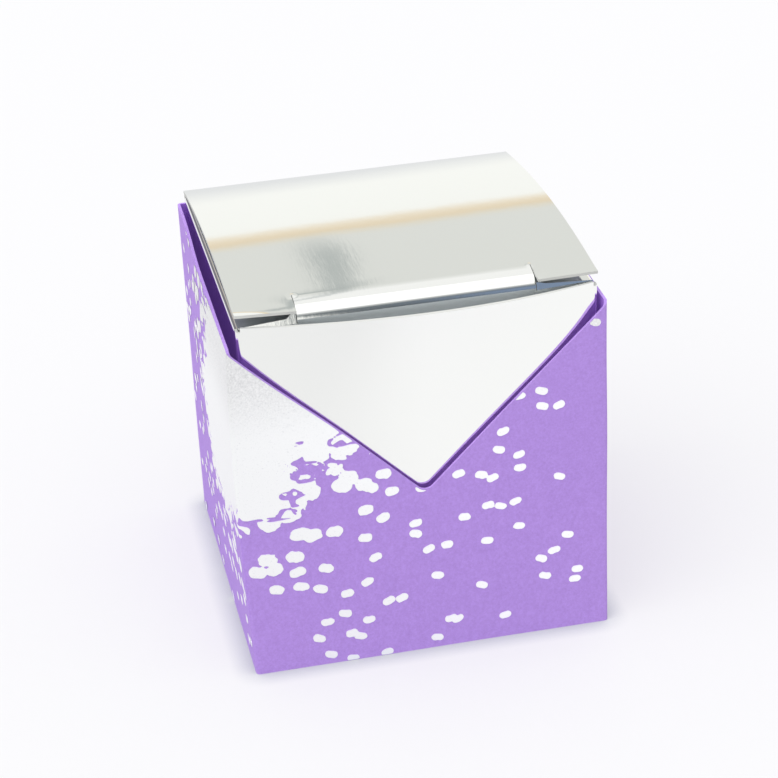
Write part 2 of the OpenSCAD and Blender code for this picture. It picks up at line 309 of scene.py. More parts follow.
class Shell:
    """A card's outer surface, put together from grids of points that share their edges."""

    def __init__(self):
        self.points = []
        self.index = {}
        self.faces = []

    def point(self, p):
        key = tuple(round(float(c) * WELDS_PER_MM) for c in p)
        if key not in self.index:
            self.index[key] = len(self.points)
            self.points.append([float(c) for c in p])
        return self.index[key]

    def face(self, corners):
        corners = [c for k, c in enumerate(corners) if c != corners[k - 1]]
        if len(corners) > 2:
            self.faces.append(corners)

    def grid(self, points, keep=None, flip=False):
        """Adds a grid of quads; keep says which cells are card, and flip turns its face over."""
        rows, cols = points.shape[0] - 1, points.shape[1] - 1
        ids = {}

        def vertex(i, j):
            if (i, j) not in ids:
                ids[i, j] = self.point(points[i, j])
            return ids[i, j]

        for i in range(rows):
            for j in range(cols):
                if keep is None or keep[i, j]:
                    quad = [vertex(i, j), vertex(i, j + 1),
                            vertex(i + 1, j + 1), vertex(i + 1, j)]
                    self.face(quad[::-1] if flip else quad)

    def build(self, name, thickness, materials):
        """Makes the closed card: outer face, inner face and cut edge take the three materials."""
        mesh = bpy.data.meshes.new(name)
        mesh.from_pydata([[c * MM for c in p] for p in self.points], [], self.faces)
        piece = bpy.data.objects.new(name, mesh)
        bpy.context.collection.objects.link(piece)
        for material in materials:
            mesh.materials.append(material)
        solid = piece.modifiers.new("card", "SOLIDIFY")
        solid.thickness = thickness * MM
        solid.offset = -1
        solid.use_even_offset = True
        solid.use_quality_normals = True
        solid.material_offset = 1
        solid.material_offset_rim = 2
        apply_modifiers(piece)
        piece.data.shade_smooth()
        piece.data.set_sharp_from_angle(angle=SHARP_ANGLE)
        return piece


def apply_modifiers(piece):
    """Leaves the piece with the mesh that its modifiers make."""
    graph = bpy.context.evaluated_depsgraph_get()
    made = bpy.data.meshes.new_from_object(piece.evaluated_get(graph))
    old = piece.data
    piece.modifiers.clear()
    piece.data = made
    bpy.data.meshes.remove(old)
    made.name = piece.name


def lines(*stops, step):
    """Grid lines from stop to stop, about step apart, each stop a line."""
    out = [stops[0]]
    for a, b in zip(stops, stops[1:]):
        count = max(1, round(abs(b - a) / step))
        out.extend(a + (b - a) * k / count for k in range(1, count + 1))
    return np.array(out)


def around(u, half_x, half_y, r):
    """Place and outward direction on a tube's plan, u along its outline unrolled from the
    front left corner: front, right, back, left. The folds are arcs of radius r."""
    u = np.asarray(u, float) % (4 * (half_x + half_y))
    sides = [2 * half_x, 2 * half_y, 2 * half_x, 2 * half_y]
    x, y, nx, ny = (np.zeros_like(u) for _ in range(4))
    start = 0.0
    corner = np.array([-half_x, -half_y])
    for k, side in enumerate(sides):
        along = np.array([math.cos(k * math.pi / 2), math.sin(k * math.pi / 2)])
        out = np.array([along[1], -along[0]])
        here = (u >= start) & (u <= start + side)
        w = u[here] - start
        turn = np.where(w < r, w / r - 1, 0)
        turn = np.where(w > side - r, (w - side) / r + 1, turn)
        angle = turn * math.pi / 4
        flat = np.clip(w, r, side - r)
        centre = corner + np.outer(flat, along) - r * out
        normal = np.outer(np.cos(angle), out) + np.outer(np.sin(angle), along)
        place = centre + r * normal
        x[here], y[here] = place[:, 0], place[:, 1]
        nx[here], ny[here] = normal[:, 0], normal[:, 1]
        corner = corner + side * along
        start += side
    return x, y, nx, ny


def outline_lines(half_x, half_y, r, step, extra=()):
    """Unrolled grid lines round a tube, close together on its folds."""
    out = []
    start = 0.0
    for side in [2 * half_x, 2 * half_y, 2 * half_x, 2 * half_y]:
        fold = [start + r * k / FOLD_LINES for k in range(FOLD_LINES)]
        fold_end = [start + side - r + r * k / FOLD_LINES for k in range(FOLD_LINES)]
        inner = [start + r] + sorted(e for e in extra if start + r < e < start + side - r)
        flat = lines(*inner, start + side - r, step=step)[:-1]
        out.extend(fold + list(flat) + fold_end)
        start += side
    return np.array(out + [start])


# Sleeve

def sleeve_top(u):
    """Height of the sleeve's top edge at an unrolled place: the notch is a V with a round
    tip, and its arms run on over the front folds."""
    whole = 4 * (SLEEVE_X + SLEEVE_Y)
    x = (np.asarray(u, float) - SLEEVE_X + whole / 2) % whole - whole / 2
    shift = NOTCH_SHIFT * np.clip(1 - np.abs(x) / SLEEVE_FLAT, 0, 1)
    x = np.abs(x - shift)
    run = np.minimum(x, SLEEVE_FLAT) + math.pi / 4 * np.maximum(x - SLEEVE_FLAT, 0)
    lean = math.atan(1 / NOTCH_SLOPE)
    centre = NOTCH_Z + NOTCH_R / math.sin(lean)
    tip = centre - np.sqrt(np.maximum(NOTCH_R ** 2 - x ** 2, 0))
    top = np.where(x < NOTCH_R * math.cos(lean), tip, NOTCH_Z + run * NOTCH_SLOPE)
    return np.minimum(top, SLEEVE_H)


def sleeve_outer(u, z):
    """The sleeve's outer face: panels and folds, as the card bows and leans in the photo."""
    x, y, nx, ny = around(u, SLEEVE_X, SLEEVE_Y, FOLD_R)
    belly = LEFT_BELLY * np.sin(math.pi * np.clip(z / SLEEVE_H, 0, 1))
    out = LEFT_OUT * smooth(z / SLEEVE_H)
    left = smooth((-x - LEFT_FROM_X) / (SLEEVE_X - LEFT_FROM_X))
    x = x - (belly + out) * left * (1 - smooth((y - LEFT_FADE_Y) / LEFT_FADE))
    high = smooth((z - NOTCH_Z + LEAN_BELOW_NOTCH) / (NOTCH_DEPTH + LEAN_BELOW_NOTCH))
    front = 1 - smooth((y + SLEEVE_Y) / LEAN_DEPTH)
    lean = TIP_LEAN_LEFT * smooth((-x - LEAN_FROM_X) / LEAN_RUN)
    lean += TIP_LEAN_RIGHT * smooth((x - LEAN_FROM_X) / LEAN_RUN)
    y = y - lean * high * front
    ripple = waves(SLEEVE_WAVE, u, z)
    return np.stack([x + nx * ripple, y + ny * ripple, np.broadcast_to(z, x.shape)], -1)


def make_sleeve(materials):
    shell = Shell()
    tip = [SLEEVE_X] + [SLEEVE_X + side * d for side in (-1, 1) for d in TIP_LINES]
    u = outline_lines(SLEEVE_X, SLEEVE_Y, FOLD_R, PANEL_STEP, extra=tip)
    rise = np.linspace(0, 1, SLEEVE_ROWS)
    z = rise[:, None] * sleeve_top(u)[None, :]
    flat_u = np.broadcast_to(u, z.shape)
    points = sleeve_outer(flat_u.ravel(), z.ravel()).reshape(z.shape + (3,))
    shell.grid(points)
    sleeve = shell.build("purple_sleeve", CARD_T, materials)

    seam = Shell()
    x = lines(SLEEVE_FLAT - SLEEVE_SEAM_W, SLEEVE_FLAT, step=1.5)
    heights = lines(SLEEVE_SEAM_MARGIN, SLEEVE_H - SLEEVE_SEAM_MARGIN, step=3)
    grid_x, grid_z = np.meshgrid(x, heights)
    y = np.full_like(grid_x, SLEEVE_Y - CARD_T - SLEEVE_SEAM_GAP)
    seam.grid(np.stack([grid_x, y, grid_z], -1), flip=True)
    flap = seam.build("sleeve_seam_flap", CARD_T, materials)
    return sleeve, flap


# Foil print

def spatter():
    """The dots, one to a cell of the unrolled sleeve: u, v, half width, turn, and a chip's
    cell, or None for a loose dot."""
    first = math.floor(-2 * SLEEVE_Y / DOT_PITCH)
    last = math.ceil(2 * (SLEEVE_X + SLEEVE_Y) / DOT_PITCH)
    dots = []
    for i in range(first, last + 1):
        for j in range(math.ceil(SLEEVE_H / DOT_PITCH) + 1):
            u = DOT_PITCH * (i + 0.5 + DOT_JITTER * (share(i, j, 1) - 0.5))
            v = DOT_PITCH * (j + 0.5 + DOT_JITTER * (share(i, j, 2) - 0.5))
            d = math.hypot(u + BURST_LEFT, v - BURST_Z)
            if d > FIELD_R - DOT_SWELL and share(i, j, 3) < math.exp((FIELD_R - d) / FADE):
                half = DOT_R + DOT_SWELL * math.exp((FIELD_R - d) / SWELL_REACH)
                cell = (i, j) if d < FIELD_R + CHIP_REACH else None
                dots.append((u, v, half, DOT_TURN * (share(i, j, 4) - 0.5), cell))
    return [dot for dot in dots if on_one_panel(dot)]


def on_one_panel(dot):
    """Whether a dot lies wholly on the flat of the front or a side panel."""
    panels = [(SLEEVE_X, SLEEVE_FLAT), (-SLEEVE_Y, SLEEVE_Y - FOLD_R),
              (2 * SLEEVE_X + SLEEVE_Y, SLEEVE_Y - FOLD_R)]
    return any(abs(dot[0] - middle) < half - dot[2] - DOT_STRETCH for middle, half in panels)


def shard_depth(a, b, half, cell):
    """How far outside a chip: a shard whose corners lie nearer or further out."""
    sector = 2 * math.pi / CHIP_CORNERS
    angle = np.arctan2(b, a) % (2 * math.pi)
    side = np.floor(angle / sector)
    depth = np.zeros_like(a)
    radii = [half * (CHIP_LOW + (1 - CHIP_LOW) * share(*cell, 5 + k)) for k in range(CHIP_CORNERS)]
    corners = [(r * math.cos(k * sector), r * math.sin(k * sector)) for k, r in enumerate(radii)]
    for k, (x0, y0) in enumerate(corners):
        x1, y1 = corners[(k + 1) % CHIP_CORNERS]
        here = side == k
        off = (a[here] - x0) * (y1 - y0) - (b[here] - y0) * (x1 - x0)
        depth[here] = off / math.hypot(x1 - x0, y1 - y0)
    return depth


def foil_field(u, v):
    """How far outside the solid foil: a round burst over the fold, with a lobe to each side."""
    field = np.hypot(u + BURST_LEFT, v - BURST_Z) - FIELD_R
    for lobe_u, lobe_v, radius in LOBES:
        field = np.minimum(field, np.hypot(u - lobe_u, v - lobe_v) - radius)
    return field


def foil_depth(u, v):
    """Below 0 where the unrolled sleeve is foiled: how far outside the nearest foil edge."""
    ragged = waves(RAGGED, u, v)
    ragged += waves(FACETED, u, v, ease=None)
    field = foil_field(u, v)
    depth = field + ragged
    crumble = waves(CRUMBLE_FINE, u, v) + waves(CRUMBLE_COARSE, u, v)
    for du, dv, half, turn, cell in spatter():
        reach = half + DOT_STRETCH + CRUMBLE_ROOM
        near = (abs(u - du) < reach) & (abs(v - dv) < reach)
        a, b = u[near] - du, v[near] - dv
        along = a * math.cos(turn) + b * math.sin(turn)
        across = b * math.cos(turn) - a * math.sin(turn)
        past = np.sign(along) * np.maximum(np.abs(along) - DOT_STRETCH, 0)
        inside = shard_depth(past, across, half, cell) if cell else np.hypot(past, across) - half
        depth[near] = np.minimum(depth[near], inside + crumble[near] * min(CRUMBLE_MOST, half))
    wear = CRACK_W * smooth((field + CRACK_DEPTH) / CRACK_DEPTH)
    wear = wear * (1 - smooth((field - CRACK_OUT) / CRACK_FADE))
    bent_u = u / CRACK_PITCH[0] + CRACK_BEND * ragged
    crack = wear - np.abs(value_noise(bent_u, v / CRACK_PITCH[1], CRACK_DRAW))
    depth = np.maximum(depth, np.where(wear > 0, crack, -1))
    edge = np.maximum(v - sleeve_top(u) + FOIL_MARGIN * math.sqrt(2), FOIL_MARGIN - v)
    return np.maximum(depth, edge)


def contour_faces(value, u, v):
    """Polygons that fill a sampled function's part below 0, cell by cell."""
    points, index, faces = [], {}, []

    def corner(i, j):
        if (i, j) not in index:
            index[i, j] = len(points)
            points.append((u[j], v[i]))
        return index[i, j]

    def crossing(a, b):
        key = (min(a, b), max(a, b))
        if key not in index:
            fa, fb = value[a], value[b]
            t = min(max(fa / (fa - fb), CROSSING_MARGIN), 1 - CROSSING_MARGIN)
            index[key] = len(points)
            points.append((u[a[1]] + t * (u[b[1]] - u[a[1]]), v[a[0]] + t * (v[b[0]] - v[a[0]])))
        return index[key]

    inside = value < 0
    count = (inside[:-1, :-1].astype(int) + inside[1:, :-1] + inside[:-1, 1:] + inside[1:, 1:])
    for i, j in zip(*np.nonzero(count)):
        ring = [(i, j), (i, j + 1), (i + 1, j + 1), (i + 1, j)]
        face = []
        for a, b in zip(ring, ring[1:] + ring[:1]):
            if inside[a]:
                face.append(corner(*a))
            if inside[a] != inside[b]:
                face.append(crossing(a, b))
        faces.append(face)
    return np.array(points), faces


def make_foil(material):
    """The print as a thin skin on the sleeve, bent over the fold with it."""
    left, right = -2 * SLEEVE_Y + FOLD_R, 2 * (SLEEVE_X + SLEEVE_Y) - FOLD_R
    u = np.arange(left, right, FOIL_CELL)
    v = np.arange(0, SLEEVE_H + FOIL_CELL, FOIL_CELL)
    grid_u, grid_v = np.meshgrid(u, v)
    places, faces = contour_faces(foil_depth(grid_u, grid_v), u, v)
    on_card = sleeve_outer(places[:, 0], places[:, 1])
    _, _, nx, ny = around(places[:, 0], SLEEVE_X, SLEEVE_Y, FOLD_R)
    lifted = on_card + FOIL_T * np.stack([nx, ny, np.zeros_like(nx)], -1)
    shell = Shell()
    ids = [shell.point(p) for p in lifted]
    for face in faces:
        shell.face([ids[k] for k in face])
    return shell.build("silver_foil_print", FOIL_T, [material] * 3)


# Carton

def bow(x, z):
    """How far the front wall's top bows out."""
    rise = np.clip((z - NOTCH_Z) / (BOX_H - NOTCH_Z), 0, 1)
    across = np.clip(1 - (x / FLAT_W) ** 2, 0, 1)
    return FRONT_BOW * across * (1 + BOW_SKEW * x / FLAT_W) * rise ** BOW_POWER


def carton_outer(u, z):
    """The carton's outer face, with the front wall's bow."""
    x, y, nx, ny = around(u, HALF_W, HALF_D, FOLD_R)
    on_front = ny < -SQUARE_ON
    y = np.where(on_front, y - bow(x, z), y)
    ripple = waves(CARTON_WAVE, u, z)
    return np.stack([x + nx * ripple, y + ny * ripple, np.broadcast_to(z, x.shape)], -1)


def carton_walls(shell):
    """Four walls and their folds, open where a flap goes on from a wall."""
    dust_lines = [DUST_FRONT + HALF_D, DUST_BACK + HALF_D]
    right = 2 * HALF_W
    left = 2 * (2 * HALF_W + HALF_D)
    extra = [right + w for w in dust_lines] + [left + 2 * HALF_D - w for w in dust_lines]
    u = outline_lines(HALF_W, HALF_D, FOLD_R, 1.0, extra=extra)
    low = CARD_T + LAYER_GAP + FOLD_R
    z = lines(0, FOLD_R, low, WALL_LINE_Z, WALL_TOP - FOLD_R, WALL_TOP, BOX_H, step=WALL_STEP)
    flat_u, flat_z = np.meshgrid(u, z)
    points = carton_outer(flat_u.ravel(), flat_z.ravel()).reshape(flat_u.shape + (3,))
    mid_u = (u[:-1] + u[1:]) / 2
    mid_z = ((z[:-1] + z[1:]) / 2)[:, None]
    _, y, nx, ny = around(mid_u, HALF_W, HALF_D, FOLD_R)
    front, back, side = ny < -SQUARE_ON, ny > SQUARE_ON, np.abs(nx) > SQUARE_ON
    dust = side & (y > DUST_FRONT)
    keep = np.ones(points.shape[:2], bool)[:-1, :-1]
    keep &= front[None, :] | (mid_z < WALL_TOP)
    keep &= ~(dust[None, :] & (mid_z > WALL_TOP - FOLD_R))
    keep &= ~(side[None, :] & (mid_z < low))
    keep &= ~(back[None, :] & (mid_z < FOLD_R))
    shell.grid(points, keep)


def fold_over(shell, side, y, top, length, taper, up):
    """A dust flap: it bends over the side wall's edge and runs inwards, tapering."""
    bend = [(HALF_W - FOLD_R + FOLD_R * math.cos(a), FOLD_R * math.sin(a)) for a in QUARTER_TURN]
    run = [(HALF_W - w, FOLD_R) for w in lines(FOLD_R, length, step=1.5)[1:]]
    middle = (y[0] + y[-1]) / 2
    half = (y[-1] - y[0]) / 2
    rows = []
    for x, rise in bend + run:
        share_in = max(0, (HALF_W - FOLD_R - x) / (length - FOLD_R))
        squeeze = (half - taper * share_in) / half
        z = top - FOLD_R + rise if up else top + FOLD_R - rise
        rows.append([(side * x, middle + (w - middle) * squeeze, z) for w in y])
    shell.grid(np.array(rows), flip=(side > 0) != up)


def bottom_panel(shell):
    """The bottom folds from the back wall and tucks up inside the front wall."""
    front = -HALF_D + CARD_T + LAYER_GAP
    path = [(HALF_D - FOLD_R + FOLD_R * math.cos(a), FOLD_R - FOLD_R * math.sin(a))
            for a in QUARTER_TURN]
    path += [(w, 0) for w in lines(HALF_D - FOLD_R, front + FOLD_R, step=3)[1:]]
    path += [(front + FOLD_R - FOLD_R * math.sin(a), FOLD_R - FOLD_R * math.cos(a))
             for a in QUARTER_TURN[1:]]
    path += [(front, w) for w in lines(FOLD_R, BOTTOM_TUCK_H, step=2)[1:]]
    x = lines(-FLAT_W, FLAT_W, step=3)
    rows = []
    for y, z in path:
        squeeze = 1 - BOTTOM_TUCK_TAPER * smooth((z - FOLD_R) / BOTTOM_TAPER_RUN) if y < 0 else 1
        rows.append([(w * squeeze, y, z) for w in x])
    shell.grid(np.array(rows))


def carton_seam(shell):
    """The glued flap inside the left wall."""
    low, high = CARD_T + LAYER_GAP + FOLD_R + SEAM_BEVEL, WALL_TOP - FOLD_R - SEAM_BEVEL
    y = lines(-FLAT_D, SEAM_W - FLAT_D, step=2)
    rows = []
    for t in np.linspace(0, 1, SEAM_ROWS):
        slope = SEAM_BEVEL * (y + FLAT_D) / SEAM_W
        z = low + slope + t * (high - low - 2 * slope)
        rows.append([(CARD_T - HALF_W, a, b) for a, b in zip(y, z)])
    shell.grid(np.array(rows), flip=True)


def make_carton(materials):
    shell = Shell()
    carton_walls(shell)
    dust_y = lines(DUST_FRONT, DUST_BACK, step=1.0)
    wall_y = lines(-FLAT_D, DUST_FRONT, step=1.0)[:-1]
    low = CARD_T + LAYER_GAP
    for side in (-1, 1):
        fold_over(shell, side, dust_y, WALL_TOP, DUST_LEN, DUST_TAPER, up=True)
        whole = np.concatenate([wall_y, dust_y])
        fold_over(shell, side, whole, low, BOTTOM_DUST_LEN, DUST_TAPER, up=False)
    bottom_panel(shell)
    carton_seam(shell)
    return shell.build("mirror_carton", CARD_T, materials)


# Lid

def lid_height(y):
    """Height of the arched lid's middle at a place between hinge and front."""
    s = (HINGE_Y - y) / LID_RUN
    return HINGE_Z + s * LID_RISE + 4 * LID_ARCH * s * (1 - s)


def lid_path():
    """The lid's path down the middle of the card: its arch, then its front fold, which
    bends gently at first and tightest at the crease. Also where the fold starts."""
    slope = math.atan((LID_RISE - 4 * LID_ARCH) / LID_RUN)
    start_angle = math.pi - slope
    start_y = HINGE_Y - TUCK_REACH + FOLD_BEND_R * (1 + math.sin(start_angle)) + FOLD_EASE
    near = start_y + NEAR_FOLD
    arch_y = np.append(lines(HINGE_Y, near, step=ARCH_STEP),
                       lines(near, start_y, step=NEAR_FOLD_STEP)[1:])
    arch = [(y, lid_height(y)) for y in arch_y]
    shares = (np.arange(FOLD_STEPS) + 0.5) / FOLD_STEPS
    turns = start_angle + (1.5 * math.pi - start_angle) * shares ** FOLD_POWER
    steps = np.stack([np.cos(turns), np.sin(turns)], -1)
    run = (start_y - HINGE_Y + TUCK_REACH) / -steps[:, 0].sum()
    fold = [tuple(p) for p in np.array(arch[-1]) + run * np.cumsum(steps, axis=0)]
    return arch, fold, start_y


def slit_curl(x, y, start_y):
    """How far the lid stands up round each slit's end."""
    from_slit = np.hypot(np.abs(x) - SLIT_X, y - start_y)
    return CURL_H * np.exp(-(from_slit / CURL_R) ** 2)


def tuck_point(z):
    """The tuck flap lies on an arc about the hinge, so that it swings clear."""
    return HINGE_Y - math.sqrt(TUCK_REACH ** 2 - (HINGE_Z - z) ** 2)


def offset_outwards(path):
    """Moves a path from the middle of the card to its outer face."""
    path = np.array(path)
    way = np.gradient(path, axis=0)
    way /= np.linalg.norm(way, axis=1)[:, None]
    return path + CARD_T / 2 * np.stack([way[:, 1], -way[:, 0]], -1)


def lid_lines():
    """Grid lines across half the lid: those between its slits, and those outside them."""
    near_slit = SLIT_X + SLIT_W + HOOK_W
    outside = lines(SLIT_X, SLIT_X + SLIT_W, near_slit, step=NEAR_SLIT_STEP)
    outside = np.append(outside, lines(near_slit, TUCK_HALF_W, HALF_W, step=SIDE_STEP)[1:])
    between = lines(0, SLIT_X - HOOK_W, step=LID_STEP)
    between = np.append(between, lines(SLIT_X - HOOK_W, SLIT_X, step=NEAR_SLIT_STEP)[1:-1])
    return between, outside


def lid_column(x, arch, fold):
    """A line down the lid's outer face: its arch, its fold and its round-cornered tuck flap."""
    tuck_top = fold[-1][1]
    low = TUCK_HALF_W - TUCK_CORNER_R
    past = np.clip((abs(x) - low) / TUCK_CORNER_R, 0, 1)
    end = tuck_top - TUCK_LEN + TUCK_CORNER_R * (1 - math.sqrt(1 - past ** 2))
    heights = [tuck_top + (end - tuck_top) * (k + 1) / TUCK_ROWS for k in range(TUCK_ROWS)]
    return offset_outwards(arch + fold + [(tuck_point(z), z) for z in heights])


def add_tab(shell, side, x, start, start_y):
    """The lid's front corner outside a slit: it goes on from the arch's end and lifts."""
    tab = offset_outwards([(y, lid_height(y)) for y in lines(start_y, TAB_Y, step=TAB_STEP)])
    tab[0] = start
    forward = np.linspace(0, 1, len(tab)) ** TAB_LIFT_POWER
    corner = TAB_LIFT[side] * np.outer(forward, (x - SLIT_X) / SLIT_LEN)
    rows = [[(side * px, y, z + slit_curl(side * px, y, start_y) + lift)
             for px, lift in zip(x, row)] for (y, z), row in zip(tab, corner)]
    shell.grid(np.array(rows), flip=side > 0)


def add_ear(shell, side, x, tuck_top, foot):
    """The ear outside a slit: it goes on up from the tuck flap, tilts back and ends in a hook."""
    rows = []
    for t in np.linspace(1, 0, EAR_ROWS):
        row = []
        for px in x:
            share_out = (px - x[0]) / (x[-1] - x[0])
            hook = EAR_HOOK[side] * (1 - smooth((px - x[0]) / HOOK_W))
            top = BOX_H + EAR_ABOVE[side] + hook - EAR_DROP * share_out
            z = tuck_top + t * (top - tuck_top)
            back = EAR_TILT[side] * (z - tuck_top)
            out = EAR_REACH * share_out * smooth(2 * t)
            row.append((side * (px + out), tuck_point(z) - CARD_T / 2 + back, z))
        rows.append(row)
    rows[-1] = [(side * px, foot[0], foot[1]) for px in x]
    shell.grid(np.array(rows), flip=side > 0)


def make_lid(materials):
    """One grid over arch, fold and tuck flap, cut at the slits, and the corners beside them."""
    arch, fold, start_y = lid_path()
    between, outside = lid_lines()
    x = np.concatenate([-outside[::-1], -between[:0:-1], between, outside])
    columns = np.array([lid_column(px, arch, fold) for px in x])
    across = np.broadcast_to(x[:, None, None], columns.shape[:2] + (1,))
    grid = np.concatenate([across, columns], -1)
    row = np.arange(grid.shape[1])
    fold_start = len(arch)
    fold_end = len(arch) + len(fold) - 1
    ripple = waves(LID_WAVE, grid[..., 0], grid[..., 1])
    curl = slit_curl(grid[..., 0], grid[..., 1], start_y)
    grid[..., 2] += np.where(row[None, :] < fold_start - SMOOTH_ROWS_BY_FOLD, ripple, 0)
    grid[..., 2] += np.where(row[None, :] < fold_end, curl, 0)

    mid_x = np.abs((x[:-1] + x[1:]) / 2)[None, :]
    cell_row = row[:-1, None]
    on_arch = cell_row < fold_start - 1
    on_tuck = cell_row >= fold_end
    on_fold = ~on_arch & ~on_tuck
    keep = on_arch | (on_fold & (mid_x < SLIT_X)) | (on_tuck & (mid_x < TUCK_HALF_W))
    shell = Shell()
    shell.grid(grid.transpose(1, 0, 2), keep, flip=True)

    tab_x = outside[outside > SLIT_X + SLIT_W / 2]
    ear_x = tab_x[tab_x < TUCK_HALF_W + SLIT_W / 2]
    for side in (-1, 1):
        add_tab(shell, side, tab_x, columns[0, fold_start - 1], start_y)
        add_ear(shell, side, ear_x, fold[-1][1], columns[0, fold_end])
    return shell.build("mirror_lid", CARD_T, materials)


# Materials

def new_material(name, color, roughness, metallic=0.0):
    """A material with a Principled shader, and its nodes and links at hand."""
    material = bpy.data.materials.new(name)
    material.use_nodes = True
    nodes, links = material.node_tree.nodes, material.node_tree.links
    shader = nodes["Principled BSDF"]
    shader.inputs["Base Color"].default_value = color
    shader.inputs["Roughness"].default_value = roughness
    shader.inputs["Metallic"].default_value = metallic
    return material, nodes, links, shader


def add_noise(nodes, links, scale, detail, stretch=(1, 1, 1), rough=0.6):
    """Noise over the object's own coordinates; scale is features per metre."""
    place = nodes.new("ShaderNodeTexCoord")
    mapping = nodes.new("ShaderNodeMapping")
    mapping.inputs["Scale"].default_value = stretch
    noise = nodes.new("ShaderNodeTexNoise")
    noise.inputs["Scale"].default_value = scale
    noise.inputs["Detail"].default_value = detail
    noise.inputs["Roughness"].default_value = rough
    links.new(place.outputs["Object"], mapping.inputs["Vector"])
    links.new(mapping.outputs["Vector"], noise.inputs["Vector"])
    return noise.outputs["Fac"]


def ramp(nodes, links, source, *stops):
    """Colours by a value: stops are (value, colour), lowest first."""
    node = nodes.new("ShaderNodeValToRGB")
    elements = node.color_ramp.elements
    elements[0].position, elements[0].color = stops[0]
    elements[-1].position, elements[-1].color = stops[-1]
    for value, color in stops[1:-1]:
        elements.new(value).color = color
    links.new(source, node.inputs["Fac"])
    return node.outputs["Color"]


def calc(nodes, links, operation, *values):
    """Arithmetic on numbers and other nodes' outputs."""
    node = nodes.new("ShaderNodeMath")
    node.operation = operation
    for socket, value in zip(node.inputs, values):
        if isinstance(value, (int, float)):
            socket.default_value = value
        else:
            links.new(value, socket)
    return node.outputs[0]


def rising(nodes, links, value, low, high):
    """Rises smoothly from 0 to 1 as a value goes from low to high."""
    node = nodes.new("ShaderNodeMapRange")
    node.interpolation_type = "SMOOTHSTEP"
    node.inputs["From Min"].default_value = low
    node.inputs["From Max"].default_value = high
    links.new(value, node.inputs["Value"])
    return node.outputs["Result"]


def mix_colors(nodes, links, share_of_b, a, b, blend="MIX"):
    """Mixes two colours; each input is a fixed value or a node's output."""
    node = nodes.new("ShaderNodeMix")
    node.data_type = "RGBA"
    node.blend_type = blend
    for name, value in (("Factor", share_of_b), ("A", a), ("B", b)):
        if isinstance(value, bpy.types.NodeSocket):
            links.new(value, node.inputs[name])
        else:
            node.inputs[name].default_value = value
    return node.outputs["Result"]


def bump(nodes, links, shader, source, distance, strength=1.0, under=None):
    """Relief from a value, distance metres deep, on top of another relief if one is given."""
    node = nodes.new("ShaderNodeBump")
    node.inputs["Strength"].default_value = strength
    node.inputs["Distance"].default_value = distance
    links.new(source, node.inputs["Height"])
    if under:
        links.new(under, node.inputs["Normal"])
    links.new(node.outputs["Normal"], shader.inputs["Normal"])
    return node.outputs["Normal"]


def purple_card(name, red, green, blue, glow=0.0):
    """Uncoated card dyed through: fine fibres and a faint mottle. Its glow is painted light
    that stands in for the light that comes through it from the other side."""
    material, nodes, links, shader = new_material(name, srgb(red, green, blue), roughness=0.82)
    fibre = add_noise(nodes, links, scale=2600, detail=6, rough=0.75)
    mottle = add_noise(nodes, links, scale=420, detail=4)
    spread = 10
    base = ramp(nodes, links, fibre, (0.3, srgb(red - spread, green - spread, blue - spread)),
                (0.7, srgb(red + spread, green + spread, blue + spread)))
    veil = ramp(nodes, links, mottle, (0.3, (0.955, 0.95, 0.965, 1)), (0.7, (1, 1, 1, 1)))
    links.new(mix_colors(nodes, links, 1.0, base, veil, "MULTIPLY"), shader.inputs["Base Color"])
    shader.inputs["Emission Color"].default_value = srgb(red, green, blue)
    shader.inputs["Emission Strength"].default_value = glow
    bump(nodes, links, shader, fibre, distance=0.00003)
    return material


def foil_material():
    """Hot-stamped silver: bright, with the card's grain showing through and tiny pinholes,
    and duller towards the top, where it is worn."""
    material, nodes, links, shader = new_material("silver_foil", srgb(247, 247, 248),
                                                 roughness=0.3, metallic=1.0)
    grain = add_noise(nodes, links, scale=3600, detail=5, rough=0.8)
    plain = ramp(nodes, links, grain, (0.28, srgb(220, 221, 224)), (0.42, srgb(251, 252, 252)))
    dull = ramp(nodes, links, grain, (0.30, srgb(204, 205, 206)), (0.62, srgb(246, 246, 246)))
    split = nodes.new("ShaderNodeSeparateXYZ")
    place = nodes.new("ShaderNodeTexCoord")
    links.new(place.outputs["Object"], split.inputs["Vector"])
    worn = rising(nodes, links, split.outputs["Z"], low=0.036, high=0.049)
    links.new(mix_colors(nodes, links, worn, plain, dull), shader.inputs["Base Color"])
    bump(nodes, links, shader, grain, distance=0.00002)
    return material


def mirror_film():
    """Mirror-laminated card: a clear reflection with the board's fine grain in it."""
    material, nodes, links, shader = new_material("mirror_film", srgb(240, 241, 238),
                                                 roughness=0.06, metallic=1.0)
    grain = add_noise(nodes, links, scale=900, detail=3, stretch=(2.5, 0.35, 1))
    drawn = bump(nodes, links, shader, grain, distance=0.0000018)
    orange_peel = add_noise(nodes, links, scale=260, detail=2)
    bump(nodes, links, shader, orange_peel, distance=0.000005, under=drawn)
    return material


def white_board(name, color):
    """The card's plain white reverse, or its cut edge."""
    material, nodes, links, shader = new_material(name, color, roughness=0.85)
    fibre = add_noise(nodes, links, scale=2400, detail=5)
    bump(nodes, links, shader, fibre, distance=0.00002)
    return material


# Stage

